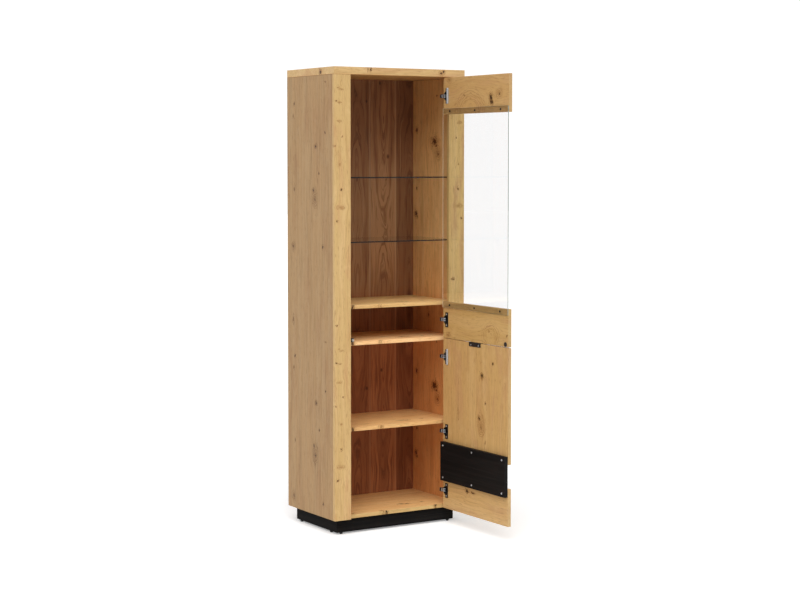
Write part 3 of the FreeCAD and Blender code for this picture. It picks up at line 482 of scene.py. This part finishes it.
# %% Plinth and joining board
def black_wood(name, along, rough=(0.38, 0.55)):
    """Black wood print: almost black, with long charcoal streaks and pressed pores."""
    material = finish(name, IOR=1.5, Specular_IOR_Level=0.07)
    tree = material.node_tree
    place = add(tree, "VectorMath", (add(tree, "TexCoord", (), "Object"), IN_MM), operation="MULTIPLY")
    size = {axis: 1 / 3.0 for axis in "xyz"}
    size[along] = 1 / 240
    spread = add(tree, "VectorMath", (place, tuple(size.values())), operation="MULTIPLY")
    streaks = add(tree, "TexNoise", {"Vector": spread, "Scale": 1.0, "Detail": 4.0, "Distortion": 0.6})
    broad = add(tree, "TexNoise", {"Vector": spread, "Scale": 0.16, "Detail": 2.0})
    colour = linear("#131212")
    layers = (("#1C1A19", broad, 0.42, 0.68, 0.9), ("#2A2725", streaks, 0.5, 0.78, 0.7),
              ("#0B0A0A", streaks, 0.48, 0.3, 0.8))
    for code, amount, start, end, most in layers:
        cover = add(tree, "MapRange", (amount, start, end, 0.0, most), interpolation_type="SMOOTHSTEP")
        colour = add(tree, "Mix", {0: cover, 6: colour, 7: linear(code)}, 2, data_type="RGBA")
    gloss = add(tree, "MapRange", (streaks, 0.3, 0.7, *rough))
    dips = add(tree, "Bump", {"Height": streaks, "Strength": 0.25, "Distance": 0.0004})
    return wire(material, Base_Color=colour, Roughness=gloss, Normal=dips)


DULL = (0.66, 0.82)                  # a plinth gets scuffed by shoes and brooms
dress(black_wood("black wood print, scuffed, grain along X", "x", DULL), "plinth_front", "plinth_back")
dress(black_wood("black wood print, scuffed, grain along Y", "y", DULL), "plinth_left", "plinth_right")
dress(black_wood("black wood print, grain along Y", "y"), "joining_board")
print("black boards: 5")

# %% [markdown]
# ## Glass
#
# The door pane and the two shelves are float glass with ground edges. Clear through the faces, float glass
# shows its iron along the edge, grey-green on the door. The shelves' edges are painted nearly black, a painted
# reflection of the dark cabinet they look back into, and near the hinge the pane's edge has a painted
# reflection of the lit oak. A box would have razor edges, and ground glass has a fine bevel, the arris, and
# softly turned corners. So each sheet is a small profile carried round a rounded rectangle. A hair of air
# stays between the pane and the boards behind it, so that light finds its way between the two.

# %% A sheet of glass
CORNER_GROUND, ARRIS, AIR = 2 * MM, 0.4 * MM, 0.15 * MM


def rounded_loop(wide, high, radius, steps=6):
    """Points round a rectangle with round corners: centre + radius (cos t, sin t), t over each quarter."""
    turn = np.linspace(0, math.pi / 2, steps)
    quarters = [(wide - radius, high - radius, 0), (radius, high - radius, 1), (radius, radius, 2),
                (wide - radius, radius, 3)]
    arcs = [(x, y, turn + k * math.pi / 2) for x, y, k in quarters]
    return np.concatenate([np.stack([x + radius * np.cos(t), y + radius * np.sin(t)], 1) for x, y, t in arcs])


def new_piece(name, points, faces, materials, body, replaces=(), smooth=False):
    """A mesh object from plain arrays, riding on its body and standing for the nodes it replaces."""
    mesh = bpy.data.meshes.new(name)
    mesh.from_pydata(np.asarray(points).tolist(), [], [tuple(map(int, face)) for face in faces])
    for material in materials:
        mesh.materials.append(material)
    mesh.shade_smooth() if smooth else mesh.shade_flat()
    piece = bpy.data.objects.new(name, mesh)
    bpy.context.scene.collection.objects.link(piece)
    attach(piece, body)
    if replaces:
        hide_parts(*replaces)
    return piece


def tube_faces(rings, around):
    """Quads between neighbouring rings of a closed loop: (i, j), (i, j+1), (i+1, j+1), (i+1, j)."""
    ring, spoke = np.meshgrid(np.arange(rings - 1), np.arange(around), indexing="ij")
    onward = (spoke + 1) % around
    return np.stack([ring * around + spoke, ring * around + onward,
                     (ring + 1) * around + onward, (ring + 1) * around + spoke], -1).reshape(-1, 4)


def slab(name, low, high, thin, radius, edge, materials, body, replaces):
    """A plate with round corners and round edges, filling a box.

    The loop is inset by e (1 - sin t) at height e (1 - cos t), t over a quarter turn, e being the edge's
    radius, and by the same at the far face. A ground arris of glass and a moulded edge are both this shape.
    """
    across, up = [axis for axis in range(3) if axis != thin]
    wide, tall, thick = (high - low)[[across, up, thin]]
    turn = np.linspace(0, math.pi / 2, 5)
    insets, heights = edge * (1 - np.sin(turn)), edge * (1 - np.cos(turn))
    rings = []
    for inset, height in zip([*insets, *insets[::-1]], [*heights, *(thick - heights[::-1])]):
        loop = rounded_loop(wide - 2 * inset, tall - 2 * inset, radius - inset) + inset
        ring = np.zeros((len(loop), 3))
        ring[:, [across, up]] = loop
        ring[:, thin] = height
        rings.append(ring + low)
    around = len(rings[0])
    sides = tube_faces(len(rings), around)
    caps = [np.arange(around)[::-1], np.arange(around) + (len(rings) - 1) * around]
    faces = [face[::-1] if thin == 1 else face for face in (*sides, *caps)]
    piece = new_piece(name, np.concatenate(rings), faces, materials, body, replaces)
    piece.data.polygons.foreach_set("material_index", np.array([len(materials) - 1] * len(sides) + [0, 0]))
    return piece


def glass_sheet(name, node, thin, materials, body, air=0.0):
    """A sheet of glass in a node's box, a hair thinner on its far side."""
    low, high = (np.array(corner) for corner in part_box(node))
    high[thin] -= air
    return slab(name, low, high, thin, CORNER_GROUND, ARRIS, materials, body, [node])


def float_glass(name, body):
    """Clear float glass: smooth, IOR 1.52, with at most a trace of colour in the body."""
    return finish(name, Base_Color=linear(body), Transmission_Weight=1.0, Roughness=0.0, IOR=1.52)


pane_face = float_glass("float glass, 4 mm pane", "#FFFFFF")
shelf_face = float_glass("float glass, 5 mm shelf", "#F8FAF9")
# Near the hinge the pane's edge is painted with a reflection of the lit oak beside it, and further out it
# shows its iron.
pane_edge = finish("ground glass edge, pane", Roughness=0.35, IOR=1.52)
tree = pane_edge.node_tree
along = add(tree, "SeparateXYZ", (add(tree, "TexCoord", (), "Object"),), 1)
cover = add(tree, "MapRange", (along, -0.1, -0.3, 0.0, 1.0))
oak_reflection_painted, iron = linear("#F3E6C6"), linear("#8B9389")
wire(pane_edge, Base_Color=add(tree, "Mix", {0: cover, 6: oak_reflection_painted, 7: iron}, 2, data_type="RGBA"))
# Painted reflection: the shelves' edges are made nearly black for the dark cabinet they look back into.
shelf_edge = finish("ground glass edge, shelf", Base_Color=linear("#121617"), Roughness=0.3, IOR=1.52,
                    Specular_IOR_Level=0.2)
glass_sheet("pane", "door_glass", 0, (pane_face, pane_edge), "upper_door", AIR)
glass_sheet("shelf_low", "glass_shelf_low", 2, (shelf_face, shelf_edge), "cabinet")
glass_sheet("shelf_high", "glass_shelf_high", 2, (shelf_face, shelf_edge), "cabinet")
print("glass pieces: 3")

# %% [markdown]
# ## Metals and plastics
#
# The fittings are small, so each finish has just what would show at arm's length: nickel has a slightly
# cloudy shine, blackened steel a soft one, powder paint a fine orange-peel, and moulded plastic a faint
# haze.

# %% Fittings
def mottled(name, light, dark, grain, low, high, bump, **sockets):
    """A metal, paint or plastic whose tone and gloss wander over grains of a given size in mm."""
    material = finish(name, **sockets)
    tree = material.node_tree
    place = add(tree, "VectorMath", (add(tree, "TexCoord", (), "Object"), (1 / grain / MM,) * 3),
                operation="MULTIPLY")
    cloud = add(tree, "TexNoise", {"Vector": place, "Scale": 1.0, "Detail": 3.0})
    cover = add(tree, "MapRange", (cloud, 0.35, 0.65, 0.0, 1.0), interpolation_type="SMOOTHSTEP")
    colour = add(tree, "Mix", {0: cover, 6: linear(light), 7: linear(dark)}, 2, data_type="RGBA")
    gloss = add(tree, "MapRange", (cloud, 0.3, 0.7, low, high))
    dips = add(tree, "Bump", {"Height": cloud, "Strength": bump, "Distance": 0.0002})
    return wire(material, Base_Color=colour, Roughness=gloss, Normal=dips)


nickel = mottled("nickel-plated steel", "#C6C8CA", "#A9ABAE", 3.0, 0.24, 0.36, 0.05, Metallic=1.0)
zinc = mottled("zinc-plated sheet steel", "#85888C", "#686B70", 3.0, 0.30, 0.42, 0.06, Metallic=1.0)
bronze = mottled("browned steel", "#3E3731", "#2A2521", 2.0, 0.30, 0.42, 0.05, Metallic=1.0)
dark_steel = mottled("blackened steel", "#5A5C60", "#3E4043", 2.5, 0.32, 0.46, 0.08, Metallic=1.0)
powder_black = mottled("black powder paint", "#1B1B1C", "#121213", 0.8, 0.42, 0.55, 0.2, IOR=1.5)
black_plastic = mottled("moulded black plastic", "#1E1E1F", "#151516", 1.0, 0.40, 0.52, 0.1, IOR=1.49)
grey_plastic = mottled("moulded grey plastic", "#B9BBBD", "#A6A8AA", 1.2, 0.34, 0.44, 0.06, IOR=1.49)
pale_plastic = mottled("moulded pale plastic", "#BDB6AE", "#A8A199", 1.2, 0.32, 0.42, 0.06, IOR=1.49)
beech = mottled("turned beech", "#D9B48A", "#BF9467", 4.0, 0.55, 0.7, 0.1, IOR=1.5)
hinge_numbers = range(1, 6)
dress(nickel, "hinge_pins", "glass_shelf_pins", "lower_shelf_pins",
      "centre_links_upper", "centre_links_lower", "side_links_upper", "side_links_lower")
dress(zinc, *(f"hinge_arm_{n}" for n in hinge_numbers), *(f"hinge_mount_{n}" for n in hinge_numbers))
dress(dark_steel, *(f"hinge_cup_{n}" for n in hinge_numbers))
dress(black_plastic, "glides", "latch_housing", "strike")
dress(pale_plastic, "latch_plunger")
dress(beech, "carcass_dowels")
print("fitting finishes: 9")

# %% [markdown]
# ## Softened edges
#
# Stamped and moulded fittings have no razor edges, and it is the thin highlight on a turned edge that makes
# steel look like steel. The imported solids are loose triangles, so a Weld modifier joins them first and a
# Bevel modifier then rounds whatever turns by more than 30 degrees, which leaves the round bores alone.

# %% Round the edges of the fittings
SOFT = 0.25 * MM
soft_nodes = ["latch_housing", "strike", "glides", "latch_plunger"]
soft_nodes += [f"hinge_{part}_{n}" for part in ("arm", "cup", "mount") for n in hinge_numbers]
for name in soft_nodes:
    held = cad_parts[name]
    held.modifiers.new("joined", "WELD").merge_threshold = 0.001 * MM
    turned = held.modifiers.new("edges", "BEVEL")
    turned.width = SOFT
    turned.segments = 2
    turned.limit_method = "ANGLE"
    turned.angle_limit = math.radians(30)
    turned.use_clamp_overlap = False
print("softened:", len(soft_nodes), "nodes")

# %% [markdown]
# ## Screws with a cross recess
#
# Every head that shows is a crown with a cross in it. The cross is worked out in polar form: along a ray at
# angle t, a bar of length l and width w ends at the lesser of l/2 / |cos t| and w/2 / |sin t|, and the cross
# is the greater of the two bars' answers. Rings follow that outline at the lip and on the floor of the
# recess and turn into circles outside it. The heads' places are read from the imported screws: the vertices of
# the crowns that are within one head of each other belong together, and the middle of their box is the
# screw's axis.

# %% Make the screws
TINY, SMALL, WIDE = (6, 1.8, 3), (7, 2.2, 3.5), (9, 2.8, 4)     # head, its height, shank, in mm
CROSS_LONG, CROSS_WIDE = 0.56, 0.16                             # of the head's width


def head_spots(node, axis, side, head):
    """Middles of the crowns: half-way between the corners of each cluster of the vertices furthest out."""
    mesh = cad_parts[node].data
    points = np.zeros(3 * len(mesh.vertices))
    mesh.vertices.foreach_get("co", points)
    points = points.reshape(-1, 3)
    crowns = points[np.abs(points[:, axis] - (side * points[:, axis]).max() * side) < 0.01 * MM]
    near = np.linalg.norm(crowns[:, None] - crowns[None], axis=2) < head
    first = near.argmax(1)
    clusters = [crowns[first == label] for label in np.unique(first)]
    return np.array([(cluster.min(0) + cluster.max(0)) / 2 for cluster in clusters])


def cross_outline(turn, long, wide):
    """Distance from the middle to the edge of a cross at each angle."""
    along, aside = np.abs(np.cos(turn)) + 1e-9, np.abs(np.sin(turn)) + 1e-9
    return np.maximum(np.minimum(long / along, wide / aside), np.minimum(long / aside, wide / along)) / 2


def screws(node, axis, side, sizes, material, body):
    """Crown-headed screws: rings of (radius, height), the inner ones on the cross, closed at both poles."""
    head, high, shank = (MM * size for size in sizes)
    low, far = (np.array(corner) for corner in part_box(node))
    reach = (far - low)[axis] - high
    corner = math.atan2(CROSS_WIDE, CROSS_LONG)
    quarter = np.array([-corner, 0, corner, math.pi / 8 + corner / 2, math.pi / 4,
                        3 * math.pi / 8 - corner / 2])
    turn = np.concatenate([quarter + k * math.pi / 2 for k in range(4)])
    cross = cross_outline(turn, CROSS_LONG * head, CROSS_WIDE * head)
    bow = np.linspace(0.46, 1, 5) * math.pi / 2
    round_one = 0 * turn + 1
    radii = [0.45 * cross, cross, *(head / 2 * np.sin(bow)[:, None] * round_one), head / 2 * round_one,
             shank / 2 * round_one, shank / 2 * round_one]
    crown = high * (0.45 + 0.55 * np.cos(bow))
    heights = [0.35 * high, high, *crown, 0, 0, -reach]
    rings = np.stack([np.stack([radius * np.cos(turn), radius * np.sin(turn), level + 0 * turn], 1)
                      for radius, level in zip(radii, heights)])
    count, around = rings.shape[:2]
    one = np.concatenate([rings.reshape(-1, 3), [[0, 0, 0.3 * high], [0, 0, -reach]]])
    spoke = np.arange(around)
    onward = (spoke + 1) % around
    last = (count - 1) * around
    faces = [*tube_faces(count, around)[:, ::-1].tolist(),
             *np.stack([spoke, onward, 0 * spoke + count * around], 1).tolist(),
             *np.stack([last + onward, last + spoke, 0 * spoke + count * around + 1], 1).tolist()]
    spots = head_spots(node, axis, side, head)
    spots[:, axis] -= side * high
    out = np.eye(3)[axis] * side
    right = np.roll(np.eye(3)[axis], 1)
    place = np.stack([right, np.cross(out, right), out])
    points = np.concatenate([one @ place + spot for spot in spots])
    every = [[corner + k * len(one) for corner in face] for k in range(len(spots)) for face in faces]
    piece = new_piece(node + ".cross", points, every, [material], body, [node], smooth=True)
    piece.data.set_sharp_from_angle(angle=math.radians(40))
    return len(spots)


made = [screws("glass_screws", 0, -1, WIDE, bronze, "upper_door"),
        screws("joining_screws", 0, -1, WIDE, nickel, "lower_door"),
        screws("handle_screws", 0, -1, TINY, nickel, "lower_door"),
        screws("cup_screws_upper", 0, -1, SMALL, nickel, "upper_door"),
        screws("cup_screws_lower", 0, -1, SMALL, nickel, "lower_door"),
        screws("mount_screws", 1, 1, SMALL, nickel, "cabinet"),
        screws("clamp_screws", 1, 1, SMALL, nickel, "cabinet"),
        screws("latch_screws", 2, 1, SMALL, nickel, "cabinet")]
print("screws in each group:", made)

# %% [markdown]
# ## The handle
#
# The handle is one strip of sheet steel, pressed over the lower door's top edge: a leg inside, a flat across
# the edge and a lip to hook a finger under. Only its middle sheet is worked out, as a path through two bends
# carried across the width; Solidify gives it its 1.5 mm and Bevel breaks its edges, as a press and a
# polishing wheel do.

# %% Bend the handle
def bent_path(corners, radius, steps=7):
    """A path with round bends: each corner gives way to a quarter circle that starts radius short of it."""
    corners = np.array(corners, float)
    turn = np.linspace(0, math.pi / 2, steps)[:, None]
    parts = [corners[:1]]
    for before, corner, after in zip(corners, corners[1:], corners[2:]):
        back = (before - corner) / np.linalg.norm(before - corner)
        on = (after - corner) / np.linalg.norm(after - corner)
        parts.append(corner + radius * (back + on) - radius * (np.cos(turn) * on + np.sin(turn) * back))
    return np.concatenate([*parts, corners[-1:]])


def round_ends(path, radius, steps=6):
    """Extra points near a path's ends, at distances r (1 - cos t), and how far each point is from an end."""
    turn = np.linspace(0, math.pi / 2, steps)[1:, None]
    inward = radius * (1 - np.cos(turn))
    first = path[0] + inward * (path[1] - path[0]) / np.linalg.norm(path[1] - path[0])
    last = path[-1] + inward * (path[-2] - path[-1]) / np.linalg.norm(path[-2] - path[-1])
    full = np.concatenate([path[:1], first, path[1:-1], last[::-1], path[-1:]])
    run = np.concatenate([[0], np.cumsum(np.linalg.norm(np.diff(full, axis=0), axis=1))])
    return full, np.minimum(run, run[-1] - run)


(x_in, y_low, z_leg), (x_out, y_high, z_top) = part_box("handle")
SHEET, BEND, CORNER, LIP, EASED = (MM * size for size in (1.5, 1.5, 3, 7.5, 0.3))
middle_line = bent_path([(x_in + SHEET / 2, z_leg), (x_in + SHEET / 2, z_top - SHEET / 2),
                         (x_out - SHEET / 2, z_top - SHEET / 2), (x_out - SHEET / 2, z_top - LIP)], BEND)
line, from_end = round_ends(middle_line, CORNER)
shy = CORNER - np.sqrt(np.maximum(CORNER ** 2 - np.maximum(CORNER - from_end, 0) ** 2, 0))
across = np.linspace(-1, 1, 9)
half = (y_high - y_low) / 2 - shy
grid = np.zeros((len(line), len(across), 3))
grid[..., 0] = line[:, :1]
grid[..., 1] = (y_low + y_high) / 2 + half[:, None] * across
grid[..., 2] = line[:, 1:]
row, column = np.meshgrid(np.arange(len(line) - 1), np.arange(len(across) - 1), indexing="ij")
corner = row * len(across) + column
quads = np.stack([corner, corner + 1, corner + 1 + len(across), corner + len(across)], -1).reshape(-1, 4)
grip = new_piece("handle.bent", grid.reshape(-1, 3), quads, [powder_black], "lower_door",
                 ["handle"], smooth=True)
sheet = grip.modifiers.new("sheet", "SOLIDIFY")
sheet.thickness, sheet.offset = SHEET, 0
edges = grip.modifiers.new("edges", "BEVEL")
edges.width, edges.segments, edges.angle_limit = EASED, 2, math.radians(40)
print("handle:", [round(1000 * side, 1) for side in (x_out - x_in, y_high - y_low, z_top - z_leg)], "mm")

# %% [markdown]
# ## The soft-close dampers
#
# A damper is a moulded bar that clips on beside a hinge cup. It is the glass sheet's shape again, with the
# larger corners and fuller edges that a mould gives.

# %% Mould the dampers
CORNER_MOULDED, FULL_EDGE = 4 * MM, 1.4 * MM
for door in ("upper", "lower"):
    node = f"damper_{door}"
    low, high = (np.array(corner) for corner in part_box(node))
    slab(node + ".moulded", low, high, 0, CORNER_MOULDED, FULL_EDGE, [grey_plastic], f"{door}_door",
         [node])
print("dampers: 2")

# %% [markdown]
# ## The studio
#
# A pale floor runs far past the cabinet. It keeps the cabinet's shadow, and a little of its own light that
# only the camera, mirrors and glass see brings it up to white. The world does the same behind it. One broad
# soft sun shines from the front and a little from the left and above, so that the fronts are the brightest
# faces and the shelves catch light, and the sky fills the rest. A sun is as strong at the plinth as at the
# top.

# %% Floor, world and lamps
REACH = 40.0
FLOOR_GLOW = (0.30, 0.11)            # to the camera, and in a mirror or through glass
WHITE = 1.08                         # the world, seen either way
SKY = 0.42                           # the world as a lamp
SUN = 2.6
SUN_WIDTH = math.radians(55)
SUN_PATH = (0.34, 0.51, -0.79)


def floor_sheet():
    """A square of side 2 R on z = 0, its corners at (+-R, +-R)."""
    corners = np.array([(-1, -1, 0), (1, -1, 0), (1, 1, 0), (-1, 1, 0)]) * REACH
    mesh = bpy.data.meshes.new("floor")
    mesh.from_pydata(corners.tolist(), [], [(0, 1, 2, 3)])
    sheet = bpy.data.objects.new("floor", mesh)
    bpy.context.scene.collection.objects.link(sheet)
    return sheet


def seen_rays(tree, direct, turned):
    """One strength for rays from the camera, another for those from a mirror or glass, zero for the rest."""
    path = add(tree, "LightPath").node.outputs
    either = add(tree, "Math", (path["Is Transmission Ray"], path["Is Glossy Ray"]), operation="MAXIMUM")
    return add(tree, "Math", (add(tree, "Math", (path["Is Camera Ray"], direct), operation="MULTIPLY"),
                              add(tree, "Math", (either, turned), operation="MULTIPLY")), operation="MAXIMUM")


floor = floor_sheet()
paper = finish("matt white paper", Base_Color=linear("#F1F1F1"), Roughness=0.9)
glow = seen_rays(paper.node_tree, *FLOOR_GLOW)
paper.node_tree.nodes["Principled BSDF"].inputs["Emission Color"].default_value = (1, 1, 1, 1)
wire(paper, Emission_Strength=glow)
floor.data.materials.append(paper)

world = bpy.data.worlds.new("soft sky")
bpy.context.scene.world = world
world.use_nodes = True
sky = world.node_tree
level = add(sky, "Math", (seen_rays(sky, WHITE, WHITE), SKY), operation="MAXIMUM")
sky.links.new(level, sky.nodes["Background"].inputs["Strength"])
sky.nodes["Background"].inputs["Color"].default_value = (1, 1, 1, 1)

lamp = bpy.data.lights.new("broad sun", "SUN")
lamp.energy = SUN
lamp.angle = SUN_WIDTH
sun = bpy.data.objects.new("broad sun", lamp)
sun.rotation_euler = Vector(SUN_PATH).to_track_quat("-Z", "Y").to_euler()
bpy.context.scene.collection.objects.link(sun)
print("sky:", SKY, "sun:", SUN)
